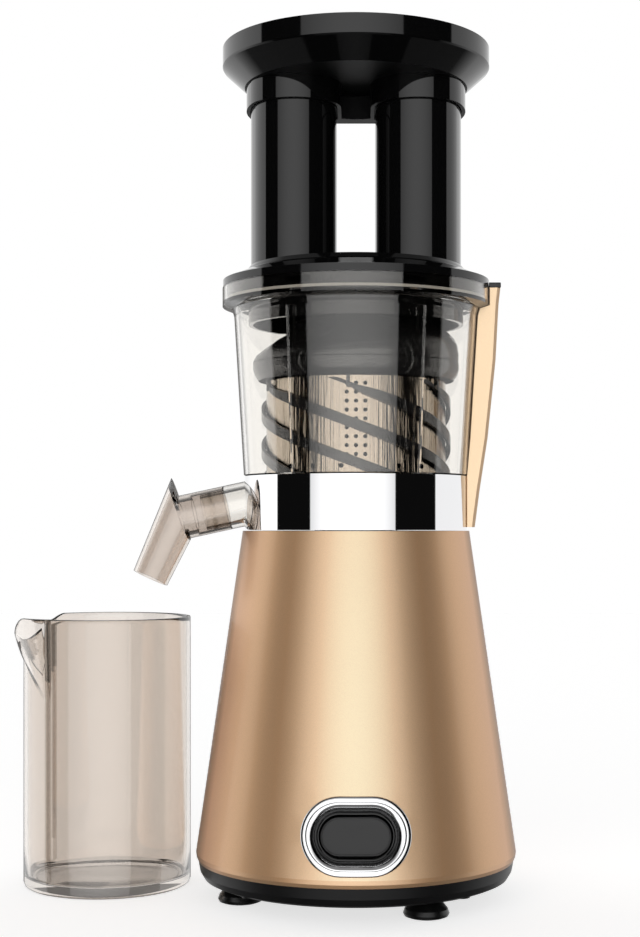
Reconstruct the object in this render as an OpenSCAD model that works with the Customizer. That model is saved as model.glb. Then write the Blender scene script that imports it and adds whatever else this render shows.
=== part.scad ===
// Cold press juicer with a tapered base, a clear juicing bowl, a lid with two feed
// tubes, a round hopper tray and a loose juice jug.
// Millimetres. Z is up, the front faces -Y, and the origin is on the counter
// under the juicer's own axis.

/* [Base] */
// widest radius of the tapered housing, just above the black cover
base_r = 86.8; // [85:0.2:90]
// radius of the housing at its top rim
base_top_r = 61.6; // [61:0.1:63]
// height of the housing's top rim above the counter
base_h = 198; // [196:1:210]
// thickness of the housing's sheet
housing_wall = 2.6; // [2:0.1:3]
// height of the feet under the cover
foot_h = 10; // [8:0.5:12]

/* [Switch] */
// width of the chrome bezel round the switch
bezel_w = 55.6; // [50:0.2:58]
// height of the chrome bezel, measured up the slope
bezel_h = 39.8; // [37:0.2:42]
// height of the middle of the switch above the counter
switch_z = 46.2; // [45:0.2:52]
// how far the rocker can tip to each side
rocker_tilt = 6; // [4:0.5:7]

/* [Bowl] */
// height of the bowl's brim above the top of the base
bowl_h = 131.3; // [128:0.1:140]
// outer radius of the brim
brim_r = 72.5; // [71.5:0.1:75]
// thickness of the bowl's wall
bowl_wall = 2.2; // [1.8:0.1:2.6]
// height of the chrome band round the bowl's foot
band_h = 29; // [27:0.5:31]

/* [Juicing set] */
// outer radius of the strainer drum as a share of the bowl's inner radius
drum_share = 0.85; // [0.846:0.002:0.854]
// radius of the strainer's round holes
hole_r = 1.1; // [0.8:0.1:1.3]
// number of slanting bars in the wiper cage
cage_bars = 6; // [4:1:7]
// number of screw flights on the auger
flights = 3; // [2:1:4]

/* [Spout] */
// outer radius of the spout's sleeve
sleeve_r = 12; // [11.6:0.1:12.2]
// how far the sleeve slopes down, in degrees
spout_slope = 12.3; // [10:0.1:14]

/* [Lid and tray] */
// height of the feed tubes above the lid
tube_h = 98; // [80:1:120]
// thickness of the feed tubes' walls
tube_wall = 2.5; // [2:0.1:3]
// half the width of the gap between the two tubes
tube_gap = 10.4; // [10.4:0.1:12]
// outer radius of the hopper tray
tray_r = 72.4; // [70:0.2:76]
// height of the tray's upright rim
tray_rim = 10; // [8:0.5:14]

/* [Jug] */
// outer radius of the jug
jug_r = 46.5; // [44:0.5:48]
// height of the jug
jug_h = 150; // [120:1:152]
// distance of the jug's middle to the left of the juicer's axis
jug_x = 139.7; // [139:0.1:160]

/* [Fits] */
// gap beside a piece that slides or lifts off
fit = 0.35; // [0.3:0.05:0.45]
// gap round a shaft that turns in its bearing
running = 0.06; // [0.03:0.01:0.08]

/* [Hidden] */
$fn = 96;
// heights of the base
seam_z = foot_h + 10.7;
wide_z = seam_z + 4.3;
taper = (base_r - base_top_r) / (base_h - wide_z);
slope = atan(taper);
// where feet, board and capacitor stand on the cover
foot_ring = base_r - 22.3;
board_x = base_r - 26.8;
// inside of the gearbox and motor
motor_z = 42;
box_z = 122;
box_r = base_top_r - 1.6;
axle_gap = box_r / 2;
gear_unit = axle_gap / 37.5;
post_r = box_r - 12;
shaft_r = 6;
// the bowl's inner levels, above the top of the base
floor_t = 5;
gear_z = 17;
drum_z = 24;
drum_top = bowl_h - 49.3;
wall_in = base_top_r - 2.1 - bowl_wall;
duct_end = base_top_r + 20.4;
rib_lean = atan((brim_r - 8.5 - wall_in - 1.5) / (bowl_h - 16.6 - band_h));
strainer_r = wall_in * drum_share;
strainer_in = strainer_r - 1.6;
cage_r = strainer_r + 4.3;
// the cage's bars climb in 16 steps of this height and turn so many degrees a millimetre
bar_step = (drum_top - 29) / 16;
bar_turn = 3.05;
bar_start = -21.3;
// height from one row of the strainer's holes to the next
hole_step = (drum_top - 45.2) / 8;
// the tray's floor, above the top of the base
tray_z = bowl_h + 10.7 + tube_h;
// the feed tubes' section
corner_x = tube_gap + 22.3;
outer_r = sqrt(corner_x * corner_x + 144) + 22.3;
// the switch's outlines
mouth_w = bezel_w - 12.5;
mouth_h = bezel_h - 12.3;
rocker_w = mouth_w - 7.4;
rocker_h = mouth_h - 8;

function cone_r(z) = base_top_r + (base_h - z) * taper;

// helpers

// an upright tube between two heights
module pipe(outer, inner, low, high) {
    translate([0, 0, low])
    difference() {
        cylinder(r = outer, h = high - low);
        translate([0, 0, -1])
        cylinder(r = inner, h = high - low + 2);
    }
}

// an upright rod between two heights
module rod(radius, low, high) {
    translate([0, 0, low])
    cylinder(r = radius, h = high - low);
}

// a box from one corner to the other
module block(low, high) {
    translate(low)
    cube(high - low);
}

module lathe(outline) {
    rotate_extrude()
    polygon(outline);
}

// copies at equal steps round the axis, each at the same radius
module around(count, radius, start) {
    for (i = [0 : count - 1])
        rotate([0, 0, start + 360 / count * i])
        translate([radius, 0, 0])
        children();
}

// a flat shape with round left and right ends
module stadium(width, height) {
    square([width - height, height], center = true);
    for (side = [-1, 1])
        translate([side * (width - height) / 2, 0])
        circle(d = height);
}

module stadium_block(width, height, low, high) {
    translate([0, 0, low])
    linear_extrude(height = high - low)
    stadium(width, height);
}

// the section of one feed tube, made larger or smaller all round
module tube_shape(grow) {
    for (side = [-1, 1])
        translate([corner_x, side * 12])
        circle(r = 22.3 + grow);
    translate([tube_gap - grow, -12])
    square([22.3 + grow, 24]);
    intersection() {
        circle(r = outer_r + grow);
        polygon([[corner_x, -12], [corner_x * 2, -24], [corner_x * 2, 24], [corner_x, 12]]);
    }
}

module tube_block(grow, low, high) {
    translate([0, 0, low])
    linear_extrude(height = high - low)
    tube_shape(grow);
}

// a flat band of an annulus, between two angles
module arc_band(inner, outer, from, to) {
    steps = 4;
    turn = (to - from) / steps;
    polygon(concat(
        [for (i = [0 : steps]) outer * [cos(from + i * turn), sin(from + i * turn)]],
        [for (i = [0 : steps]) inner * [cos(to - i * turn), sin(to - i * turn)]]
    ));
}

// involute teeth: half the angle of a tooth at a given radius
function unroll(a) = tan(a) * 180 / PI - a;
function half_tooth(teeth, unit, width, r) =
    let(base = unit * teeth / 2 * cos(20))
    90 / teeth * width + unroll(20) - (r > base ? unroll(acos(base / r)) : 0);
function tooth_radii(teeth, unit, tip, root) =
    let(low = unit * (teeth / 2 - root))
    let(high = unit * (teeth / 2 + tip))
    let(base = max(low + 0.01, unit * teeth / 2 * cos(20)))
    [low, base, base + (high - base) / 3, base + (high - base) * 2 / 3, high];
function gear_outline(teeth, unit, tip, root, width) =
    let(radii = tooth_radii(teeth, unit, tip, root))
    [for (i = [0 : teeth - 1], j = [0 : 9])
        let(r = j < 5 ? radii[j] : radii[9 - j])
        let(a = half_tooth(teeth, unit, width, r))
        let(t = 360 / teeth * i + (j < 5 ? -a : a))
        [r * cos(t), r * sin(t)]];

module gear(teeth, unit, low, high) {
    translate([0, 0, low])
    linear_extrude(height = high - low)
    polygon(gear_outline(teeth, unit, 0.85, 1.15, 0.84));
}

// the switch's own frame: Z points out of the sloping front
module at_switch() {
    translate([0, -cone_r(switch_z), switch_z])
    rotate([90 - slope, 0, 0])
    children();
}

// the solid tapered body, grown by a distance
module taper_solid(grow) {
    lathe([[0, seam_z - 5], [cone_r(seam_z - 5) + grow, seam_z - 5],
        [base_top_r + grow, base_h], [0, base_h]]);
}

// the spout's own frame: Z points down the sleeve, from its joint outward
module at_spout() {
    translate([-base_top_r - 8.4, 0, base_h + 12.6])
    rotate([0, -90 - spout_slope, 0])
    children();
}

module screw(head_r, shank_r, length) {
    rod(shank_r, 0, length);
    difference() {
        rod(head_r, -head_r * 0.8, 0);
        block([-head_r * 0.6, -0.4, -head_r * 0.8 - 1], [head_r * 0.6, 0.4, -head_r * 0.4]);
        block([-0.4, -head_r * 0.6, -head_r * 0.8 - 1], [0.4, head_r * 0.6, -head_r * 0.4]);
    }
}

// base

// tapered shell with a ledge for the deck and four screw posts
module housing() {
    color([0.78, 0.62, 0.42])
    difference() {
        union() {
            lathe([
                [base_r - 1.2, seam_z],
                [base_r - 0.3, seam_z + 2],
                [base_r, wide_z],
                [base_top_r, base_h],
                [base_top_r - housing_wall, base_h],
                [cone_r(base_h - 8) - housing_wall, base_h - 8],
                [base_top_r - 8, base_h - 8],
                [base_top_r - 8, base_h - 11],
                [cone_r(base_h - 11) - housing_wall, base_h - 11],
                [base_r - housing_wall, wide_z],
                [base_r - 1.2 - housing_wall, seam_z]
            ]);
            intersection() {
                taper_solid(-housing_wall / 2);
                around(4, base_r - 11, 45) {
                    rod(4.5, seam_z + 1, seam_z + 34);
                    block([0, -1.2, seam_z + 4.2], [20, 1.2, seam_z + 34]);
                }
            }
        }
        at_switch()
        stadium_block(bezel_w - 6, bezel_h - 6, -14, 14);
        around(4, base_r - 11, 45)
        rod(1.5, seam_z, seam_z + 12);
        around(6, base_top_r - 5.4, 0)
        rod(1.5, base_h - 12, base_h - 5);
        translate([0, base_r, foot_h + 30])
        rotate([90, 0, 0])
        stadium_block(24, 14, -10, 30);
        for (x = [-30 : 6 : 30])
            translate([x - 1.2, 50, foot_h + 56])
            cube([2.4, 50, 20]);
    }
}

// black floor of the base with its rounded skirt
module base_cover() {
    color([0.06, 0.06, 0.065])
    difference() {
        union() {
            lathe([
                [0, foot_h],
                [base_r - 7.8, foot_h],
                [base_r - 4.4, foot_h + 1.5],
                [base_r - 2.3, foot_h + 5],
                [base_r - 1.2, seam_z],
                [base_r - 1.2 - housing_wall - 1, seam_z],
                [base_r - 1.2 - housing_wall - 1, seam_z + 4],
                [base_r - 6.3, seam_z + 4],
                [base_r - 6.3, foot_h + 3],
                [0, foot_h + 3]
            ]);
            around(4, base_r - 11, 45)
            rod(5, foot_h, seam_z + 1);
            around(4, foot_ring, -56)
            rod(6.5, foot_h, foot_h + 5);
            for (side = [-1, 1])
                translate([-board_x, side * 26.8, foot_h])
                block([-2, -2, 2], [2, 2, 20]);
            around(3, 33, 90)
            rod(3, foot_h + 2, motor_z);
            rotate([0, 0, -19.5])
            translate([board_x, 0, foot_h])
            pipe(15, 13.4, 2, 16);
        }
        around(4, base_r - 11, 45) {
            rod(3.2, foot_h - 1, foot_h + 5);
            rod(1.5, foot_h - 1, seam_z + 2);
        }
        feet_at()
        rod(3, foot_h - 1, foot_h + 6);
        for (i = [0 : 11])
            rotate([0, 0, 15 + 30 * i])
            translate([12, -1.6, foot_h - 1])
            cube([16, 3.2, 5]);
        around(3, 33, 90)
        rod(1.45, foot_h - 1, motor_z + 1);
        translate([-board_x, 0, foot_h])
        block([-0.85, -28.1, 8], [0.85, 28.1, 21]);
    }
}

// the four feet stand on a rectangle turned a little to the left
module feet_at() {
    for (a = [-56, -163, 17, 124])
        rotate([0, 0, a])
        translate([foot_ring, 0, 0])
        children();
}

// soft suction feet, each with a neck pushed up into the cover
module feet() {
    color([0.05, 0.05, 0.05])
    feet_at()
    difference() {
        lathe([
            [0, 2.4], [6, 1.6], [7.5, 0], [9.4, 0], [11.4, 0.8], [12, 2.2], [11.2, 4.4],
            [9.4, 6.6], [7.8, 8.4], [7.5, foot_h], [3, foot_h],
            [3, foot_h + 5], [4.2, foot_h + 5], [3.6, foot_h + 8], [0, foot_h + 8]
        ]);
        rod(0.8, -1, 1);
    }
}

module cover_screws() {
    color([0.6, 0.6, 0.62])
    around(4, base_r - 11, 45)
    translate([0, 0, foot_h + 5])
    screw(3, 1.5, 14);
}

// chrome ring that follows the taper, with a neck through the housing
module switch_bezel() {
    color([0.9, 0.9, 0.92])
    intersection() {
        at_switch()
        difference() {
            stadium_block(bezel_w, bezel_h, -14, 14);
            stadium_block(mouth_w, mouth_h, -15, 15);
        }
        union() {
            difference() {
                taper_solid(1.5);
                taper_solid(0);
            }
            intersection() {
                difference() {
                    taper_solid(0.5);
                    taper_solid(-4.5);
                }
                at_switch()
                stadium_block(bezel_w - 6, bezel_h - 6, -14, 14);
            }
        }
    }
}

// black cup behind the bezel that carries the rocker
module switch_body() {
    color([0.08, 0.08, 0.085])
    difference() {
        intersection() {
            at_switch()
            stadium_block(mouth_w, mouth_h, -17, 3);
            taper_solid(-0.6);
        }
        at_switch()
        stadium_block(rocker_w + 1.8, rocker_h + 1.2, -11.6, 5);
        at_switch()
        translate([0, 0, -7])
        rotate([90, 0, 0])
        cylinder(r = 1.5 + running, h = rocker_h + 4, center = true);
    }
    color([0.7, 0.6, 0.3])
    at_switch()
    for (x = [-12, 0, 12])
        block([x - 0.4, -3, -23], [x + 0.4, 3, -15.5]);
}

// bare rocker that tips to the left and to the right of its middle rest
module rocker() {
    color([0.1, 0.1, 0.105])
    at_switch()
    difference() {
        union() {
            stadium_block(rocker_w, rocker_h, -9, -2.2);
            translate([0, 0, -7])
            rotate([90, 0, 0])
            cylinder(r = 1.5, h = rocker_h + 3.4, center = true);
        }
        translate([0, 0, 148])
        rotate([90, 0, 0])
        cylinder(r = 151, h = rocker_h + 2, center = true);
    }
}

// black deck inside the top rim, with the boss that centres the bowl
module top_deck() {
    color([0.09, 0.09, 0.095])
    difference() {
        union() {
            rod(base_top_r - housing_wall - 0.1, base_h - 4, base_h);
            pipe(base_top_r - housing_wall - 0.1, base_top_r - 8, base_h - 8, base_h);
            rod(20, base_h - 12, base_h + 8);
            around(4, post_r, 45)
            rod(5, box_z + 32, base_h - 2);
            for (a = [0, 120, 240])
                rotate([0, 0, a])
                block([19, -3, base_h - 1], [19.9, 3, base_h + 5]);
        }
        rod(shaft_r + running, base_h - 13, base_h + 9);
        rod(11, base_h + 2, base_h + 9);
        around(4, post_r, 45)
        rod(1.5, box_z + 31, box_z + 46);
        around(6, base_top_r - 5.4, 0)
        rod(1.5, base_h - 9, base_h - 2.5);
    }
}

module deck_screws() {
    color([0.6, 0.6, 0.62])
    around(6, base_top_r - 5.4, 0)
    translate([0, 0, base_h - 11])
    screw(2.6, 1.5, 8);
}

// soft lip ring that keeps juice out of the deck's bore
module shaft_seal() {
    color([0.75, 0.73, 0.7])
    lathe([
        [shaft_r + 0.35, base_h + 3], [shaft_r + 3, base_h + 2], [11, base_h + 2],
        [11, base_h + 7.4], [9.4, base_h + 7.4], [9.4, base_h + 4.6],
        [shaft_r + 2, base_h + 5.4], [shaft_r + 0.35, base_h + 6.6]
    ]);
}

// cast gearbox tray with the motor's upper mounting ring under it
module gearbox_case() {
    color([0.62, 0.63, 0.65])
    difference() {
        union() {
            rod(box_r, box_z, box_z + 4);
            pipe(box_r, box_r - 3, box_z, box_z + 28);
            pipe(40, 36.2, motor_z + 62, box_z + 1);
            around(4, post_r, 45)
            rod(5, box_z + 3, box_z + 28);
        }
        rod(9, box_z - 1, box_z + 3);
        rod(4 + running, box_z, box_z + 5);
        translate([0, axle_gap, 0])
        rod(3.5 + running, box_z + 1, box_z + 5);
        around(4, post_r, 45)
        rod(1.5, box_z + 14, box_z + 29);
        around(4, 38, 0)
        rod(1.2, motor_z + 60, box_z - 6);
        for (a = [0 : 45 : 315])
            rotate([0, 0, a + 22.5])
            block([30, -6, motor_z + 66], [45, 6, box_z - 4]);
    }
}

// lid of the gearbox with the output bearing's seat
module gearbox_cover() {
    color([0.62, 0.63, 0.65])
    difference() {
        union() {
            rod(box_r, box_z + 28, box_z + 32);
            rod(13, box_z + 28, box_z + 42);
            translate([0, axle_gap, 0])
            rod(7, box_z + 28, box_z + 34);
        }
        rod(9.5, box_z + 31, box_z + 43);
        rod(8, box_z + 27, box_z + 43);
        translate([0, axle_gap, 0])
        rod(3.5 + running, box_z + 27, box_z + 32.5);
        around(4, post_r, 45)
        rod(1.5, box_z + 27, box_z + 33);
    }
}

module gearbox_screws() {
    color([0.6, 0.6, 0.62])
    around(4, post_r, 45)
    translate([0, 0, box_z + 17])
    rod(1.5, 0, 27);
}

// sintered sleeve the drive shaft turns in
module output_bearing() {
    color([0.66, 0.5, 0.3])
    pipe(9.5, shaft_r + running, box_z + 31, box_z + 42);
}

// upright drive shaft with a six-sided end that turns the auger
module drive_shaft() {
    color([0.72, 0.72, 0.74])
    difference() {
        union() {
            rod(shaft_r, box_z + 14.4, base_h + 8);
            intersection() {
                rod(shaft_r, base_h + 7, base_h + 38);
                translate([0, 0, base_h + 7])
                linear_extrude(height = 31)
                polygon([for (i = [0 : 5]) 5.9 * [cos(60 * i), sin(60 * i)]]);
            }
        }
        rod(1.5, base_h + 30, base_h + 39);
    }
}

module output_gear() {
    color([0.9, 0.88, 0.8])
    difference() {
        union() {
            rotate([0, 0, 93])
            gear(60, gear_unit, box_z + 15, box_z + 24);
            rod(10, box_z + 15, box_z + 27.6);
        }
        rod(shaft_r, box_z + 14, box_z + 29);
    }
}

// the middle shaft carries a large wheel below and a small pinion above
module gear_wheel() {
    color([0.9, 0.88, 0.8])
    translate([0, axle_gap, 0])
    difference() {
        rotate([0, 0, 270 + 180 / 63])
        gear(63, gear_unit, box_z + 5.2, box_z + 12);
        rod(4.4, box_z + 5, box_z + 13);
    }
}

module countershaft() {
    color([0.6, 0.6, 0.62])
    translate([0, axle_gap, 0]) {
        rod(3.5, box_z + 1.4, box_z + 32.2);
        rod(4.4, box_z + 4.4, box_z + 12);
        rotate([0, 0, 270])
        gear(15, gear_unit, box_z + 12, box_z + 25);
    }
}

// ring of stacked steel sheets with slots for the windings
module stator() {
    color([0.42, 0.43, 0.45])
    difference() {
        pipe(40, 23, motor_z + 14, motor_z + 62);
        around(12, 29, 0)
        block([-3.2, -2.6, motor_z + 13], [3.2, 2.6, motor_z + 63]);
        around(4, 38, 0)
        rod(1.2, motor_z + 13, motor_z + 63);
    }
}

// copper end turns above and below the stack, joined through the slots
module windings() {
    color([0.72, 0.4, 0.2]) {
        pipe(34.5, 25.4, motor_z + 62, motor_z + 72);
        pipe(34.5, 25.4, motor_z + 6, motor_z + 14);
        around(12, 29, 0)
        block([-3, -2.4, motor_z + 13], [3, 2.4, motor_z + 63]);
    }
}

module rotor() {
    color([0.7, 0.7, 0.72])
    difference() {
        union() {
            rod(22.4, motor_z + 14, motor_z + 62);
            pipe(20, 15, motor_z + 10, motor_z + 66);
        }
        rod(4, motor_z + 9, motor_z + 67);
    }
}

// motor shaft with the first pinion cut on its upper end
module rotor_shaft() {
    color([0.75, 0.75, 0.77]) {
        rod(4, motor_z - 17, box_z + 4.6);
        rotate([0, 0, 90])
        gear(12, gear_unit, box_z + 4.6, box_z + 12.6);
    }
}

module motor_bearings() {
    color([0.66, 0.5, 0.3]) {
        pipe(9, 4 + running, box_z - 5, box_z + 3);
        pipe(9, 4 + running, motor_z + 0.6, motor_z + 8.6);
    }
}

// lower motor shield standing on three pillars of the cover
module motor_bracket() {
    color([0.62, 0.63, 0.65])
    difference() {
        union() {
            pipe(40, 36.2, motor_z, motor_z + 14);
            rod(40, motor_z, motor_z + 3);
            rod(12, motor_z, motor_z + 8.6);
        }
        rod(9, motor_z + 0.6, motor_z + 9);
        rod(6, motor_z - 1, motor_z + 2);
        around(3, 33, 90)
        rod(1.4, motor_z - 1, motor_z + 4);
        around(6, 24, 0)
        rod(7, motor_z - 1, motor_z + 4);
        around(4, 38, 0)
        rod(1.2, motor_z - 1, motor_z + 15);
    }
}

module motor_bolts() {
    color([0.6, 0.6, 0.62]) {
        around(4, 38, 0)
        translate([0, 0, motor_z])
        screw(1.9, 1.2, 73);
        around(3, 33, 90)
        translate([0, 0, motor_z + 3])
        mirror([0, 0, 1])
        screw(2.6, 1.4, 14);
    }
}

// cooling fan on the lower end of the motor shaft
module fan() {
    color([0.12, 0.12, 0.13])
    difference() {
        union() {
            rod(7, motor_z - 16, motor_z - 3);
            rod(26, motor_z - 16, motor_z - 14.4);
            for (i = [0 : 8])
                rotate([0, 0, 40 * i])
                translate([5, -0.7, motor_z - 15])
                cube([21, 1.4, 9]);
        }
        rod(4, motor_z - 17, motor_z - 2);
    }
}

module control_board() {
    color([0.08, 0.3, 0.16])
    translate([-board_x, 0, foot_h])
    block([-0.8, -28, 8], [0.8, 28, 58]);
    color([0.75, 0.75, 0.72])
    translate([-board_x, 0, foot_h]) {
        block([0.8, -22, 36], [10, -6, 50]);
        block([0.8, 6, 38], [6, 24, 48]);
        block([0.8, -10, 24], [7, 6, 32]);
    }
}

// round capacitor standing in a cup of the cover
module run_capacitor() {
    color([0.8, 0.8, 0.78])
    rotate([0, 0, -19.5])
    translate([board_x, 0, 0]) {
        rod(13.3, foot_h + 3, foot_h + 50);
        for (x = [-4, 4])
            block([x - 0.4, -3, foot_h + 50], [x + 0.4, 3, foot_h + 58]);
    }
}

// recessed appliance inlet in the back, no cord is shown
module power_inlet() {
    color([0.05, 0.05, 0.055])
    translate([0, base_r, foot_h + 30])
    rotate([90, 0, 0])
    difference() {
        union() {
            stadium_block(24, 14, 2, 24);
            stadium_block(28, 18, 7.6, 10);
        }
        stadium_block(19.5, 9.5, 1, 20);
        for (x = [-4.4, 4.4])
            translate([x, 0, 0])
            rod(1.2, 19, 25);
    }
}

module inlet_pins() {
    color([0.8, 0.68, 0.35])
    translate([0, base_r, foot_h + 30])
    rotate([90, 0, 0])
    for (x = [-4.4, 4.4])
        translate([x, 0, 0])
        rod(1.2, 7, 29);
}

// bowl

// outline of the bowl's outside, from the chrome band's top up to the brim
function bowl_outside() = [
    [base_top_r - 0.6, band_h + 1.3],
    [brim_r - 6.3, bowl_h - 15.3],
    [brim_r - 5.2, bowl_h - 11.6],
    [brim_r, bowl_h - 9.8],
    [brim_r, bowl_h]
];

// clear bowl with juice stub, pulp duct and the sleeve for the drive shaft
module bowl() {
    color([0.75, 0.72, 0.68, 0.45])
    translate([0, 0, base_h])
    difference() {
        union() {
            lathe(concat(
                [[22.5, 2], [base_top_r - 2.1, 0.5], [base_top_r - 2.1, band_h + 0.5]],
                bowl_outside(),
                [
                    [brim_r - 2.2, bowl_h],
                    [brim_r - 2.2, bowl_h - 7.6],
                    [brim_r - 7, bowl_h - 9],
                    [brim_r - 8.5, bowl_h - 15.3],
                    [base_top_r - 0.6 - bowl_wall, band_h + 1.3],
                    [wall_in, band_h - 2],
                    [wall_in, floor_t],
                    [22.5, floor_t]
                ]
            ));
            pipe(22.5, 20 + fit, 0, 12);
            rod(22.5, 9, 12);
            rod(9.6, 9, 16);
            translate([0, -31.5, 0]) {
                rod(5, 3, 16.6);
                rod(3, 3, 23.4);
            }
            translate([0, 33, 0])
            rod(8.5, 3, drum_z - 0.3);
            block([-13, 23, 2], [13, duct_end, 16]);
            for (a = [30, 150, 210, 330])
                rotate([0, 0, a])
                block([wall_in - 7.4, -1.5, 3], [wall_in + 1, 1.5, 16.2]);
            for (a = [58, 122, 238, 302])
                rotate([0, 0, a])
                translate([wall_in + 1.6, 0, band_h])
                rotate([0, rib_lean, 0])
                block([-2.6, -2.1, -20], [0.6, 2.1, bowl_h - 15 - band_h]);
            intersection() {
                translate([0, 0, -base_h])
                at_spout() {
                    rod(sleeve_r, -14, 0);
                    rod(9.8, -14, 13);
                }
                difference() {
                    block([-100, -20, -5], [0, 20, 40]);
                    rod(wall_in + 1, -6, 41);
                }
            }
        }
        rod(7.4, 8, 17);
        translate([0, 33, 0])
        rod(6.6, 5, drum_z + 1);
        block([-11, 25, 4], [11, duct_end + 1, 14]);
        translate([0, 0, -base_h])
        at_spout()
        rod(8, -22, 14);
        for (a = [100, 220, 340])
            rotate([0, 0, a])
            block([17, -4, -1], [21.6, 4, 6]);
    }
}

module chrome_band() {
    color([0.9, 0.9, 0.92])
    translate([0, 0, base_h])
    difference() {
        pipe(base_top_r - 1.1, base_top_r - 2.1, 0.5, band_h + 0.5);
        translate([0, 0, -base_h])
        at_spout()
        rod(sleeve_r, -20, 5);
        block([-13, wall_in - 7, 0], [13, base_top_r + 8, 16]);
    }
}

// solid champagne spine on the right of the bowl
module handle() {
    color([0.82, 0.68, 0.5])
    translate([0, 0, base_h])
    difference() {
        translate([0, 12, 0])
        rotate([90, 0, 0])
        linear_extrude(height = 24)
        polygon([
            [base_top_r - 0.6, 2], [base_top_r + 2.4, 2], [base_top_r + 5, 22],
            [base_top_r + 9.3, 50], [brim_r + 2.7, 92], [brim_r + 4.3, bowl_h - 9.3],
            [brim_r + 5.3, bowl_h - 0.4], [brim_r - 2.5, bowl_h - 0.4],
            [base_top_r + 1, 94], [base_top_r - 1, band_h]
        ]);
        lathe(concat([[0, -1], [base_top_r - 1.1, -1], [base_top_r - 1.1, band_h + 0.5]],
            bowl_outside(), [[0, bowl_h]]));
    }
}

module handle_cap() {
    color([0.06, 0.06, 0.065])
    translate([0, 0, base_h + bowl_h])
    difference() {
        block([brim_r - 2.5, -12.2, -0.4], [brim_r + 5.5, 12.2, 2.4]);
        rod(brim_r, -1, 5);
    }
}

// small pinion standing on the bowl's pin, between auger and cage
module idler_gear() {
    color([0.9, 0.88, 0.82])
    translate([0, -31.5, base_h])
    difference() {
        rotate([0, 0, 100])
        gear(18, 1.5, gear_z, gear_z + 6);
        rod(3 + running, gear_z - 1, gear_z + 7);
    }
}

// soft ring in the bowl's sleeve that wipes the drive shaft
module bowl_seal() {
    color([0.8, 0.78, 0.75])
    translate([0, 0, base_h])
    difference() {
        pipe(7.4, shaft_r + 0.35, 9, 15);
        pipe(8, 6.9, 11, 13);
    }
}

// soft ring in a groove near the end of the juice stub
module spout_ring() {
    color([0.85, 0.83, 0.8])
    at_spout()
    pipe(9.95, 9.8, 7, 9);
}

// down spout that pushes on over the juice stub, its top closed by a slanting wall
module nozzle() {
    color([0.72, 0.68, 0.64, 0.5])
    difference() {
        union() {
            at_spout()
            rod(sleeve_r, 0.3, 25.4);
            intersection() {
                at_elbow()
                translate([0, 0, -30])
                cylinder(r1 = 12.8, r2 = 10, h = 65.5);
                beyond_mitre(0);
            }
        }
        at_spout()
        rod(9.8 + fit + 0.1, -1, 18);
        at_spout()
        rod(8.4, -1, 28);
        intersection() {
            at_elbow()
            translate([0, 0, -30])
            cylinder(r1 = 10.8, r2 = 8.2, h = 66.5);
            beyond_mitre(1.8);
        }
    }
}

// the space past the slanting plane where the down tube starts
module beyond_mitre(inset) {
    at_spout()
    translate([0, 0, 24.4 + inset])
    rotate([0, -5.3, 0])
    block([-60, -20, 0], [40, 20, 60]);
}

// the down tube's frame: origin where both axes meet, Z points to the outlet
module at_elbow() {
    at_spout()
    translate([0, 0, 27.8])
    rotate([0, spout_slope - 65.3, 0])
    children();
}

// soft valve that hangs in front of the pulp duct's mouth
module pulp_flap() {
    color([0.2, 0.2, 0.21])
    translate([0, 0, base_h]) {
        difference() {
            union() {
                block([-12.4, duct_end + 0.4, 2.4], [12.4, duct_end + 2.4, 18.6]);
                translate([0, duct_end + 2.2, 18.6])
                rotate([0, 90, 0])
                cylinder(r = 2.4, h = 24.8, center = true);
            }
            translate([0, duct_end + 2.2, 18.6])
            rotate([0, 90, 0])
            cylinder(r = 1.0 + running, h = 30, center = true);
        }
        block([-9, duct_end + 2.4, 6], [9, duct_end + 3.4, 9]);
    }
}

// steel pin and two ears that carry the flap
module flap_pin() {
    color([0.72, 0.72, 0.74])
    translate([0, duct_end + 2.2, base_h + 18.6])
    rotate([0, 90, 0])
    cylinder(r = 1.0, h = 31, center = true);
}

module flap_ears() {
    color([0.75, 0.72, 0.68, 0.6])
    translate([0, 0, base_h])
    difference() {
        for (side = [-1, 1])
            block([side * 14.3 - 1.3, duct_end - 6, 8], [side * 14.3 + 1.3, duct_end + 5, 21.5]);
        translate([0, duct_end + 2.2, 18.6])
        rotate([0, 90, 0])
        cylinder(r = 1.0, h = 40, center = true);
    }
}

// juicing set

// perforated drum, its floor and the four short legs it stands on
module strainer() {
    color([0.86, 0.78, 0.66])
    translate([0, 0, base_h])
    difference() {
        union() {
            pipe(strainer_r, strainer_in, drum_z, drum_top);
            pipe(strainer_r, 22, drum_z, drum_z + 2);
            for (a = [20, 160, 200, 340])
                rotate([0, 0, a])
                translate([38, 0, 0])
                rod(3, floor_t, drum_z + 1);
        }
        translate([0, 33, 0])
        rod(6.6, drum_z - 1, drum_z + 3);
        for (quarter = [0 : 90 : 270], column = [-1 : 1], row = [0 : 8])
            rotate([0, 0, quarter + 5.6 * column - 90])
            translate([strainer_in - 2, 0, drum_z + 15.8 + hole_step * row])
            rotate([0, 90, 0])
            cylinder(r = hole_r, h = 6, $fn = 24);
        for (i = [0 : 19])
            rotate([0, 0, 18 * i + 9])
            translate([strainer_in - 2, 0, drum_z + 10])
            rotate([0, 90, 0])
            cylinder(r = hole_r + 0.2, h = 6, $fn = 24);
    }
}

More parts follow.
